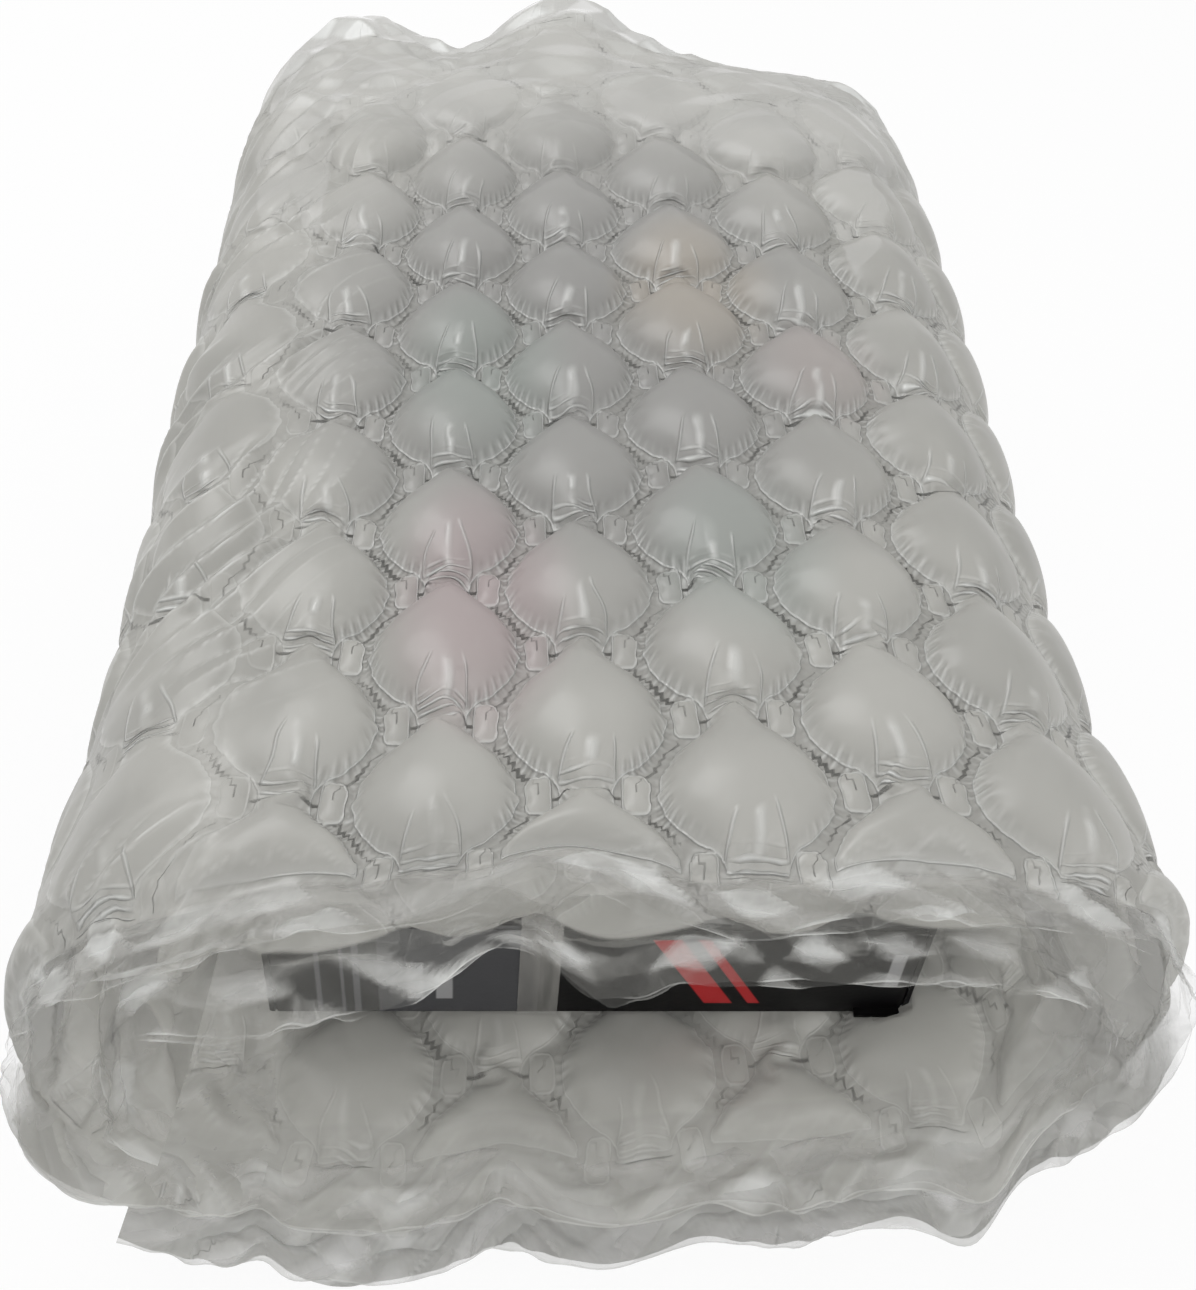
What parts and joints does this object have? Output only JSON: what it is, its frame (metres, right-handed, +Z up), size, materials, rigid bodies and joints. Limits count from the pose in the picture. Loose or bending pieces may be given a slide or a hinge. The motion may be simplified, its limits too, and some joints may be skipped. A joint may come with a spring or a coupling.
{
  "type": "air bubble film roll wrap",
  "caption": "Roll of inflated air bubble cushion film wound in turns round a flat carton, open at one end.",
  "frame": {"origin": "centre of the bounding box's bottom face, on the surface that the pack rests on", "axes": "+Z up, +Y along the roll's axis from its open mouth to its far end, +X to the right as seen from the mouth"},
  "size_m": [0.2716, 0.4154, 0.1268],
  "materials": {
    "bubble_film": "thin milky polyethylene film, inflated, softly glossy",
    "printed_board": "black printed folding board, satin varnish",
    "clear_tape": "clear glossy parcel tape"
  },
  "bodies": {
    "root": {"film_roll": "bubble_film", "carton": "printed_board", "clear_tape": "clear_tape"}
  },
  "joints": []
}
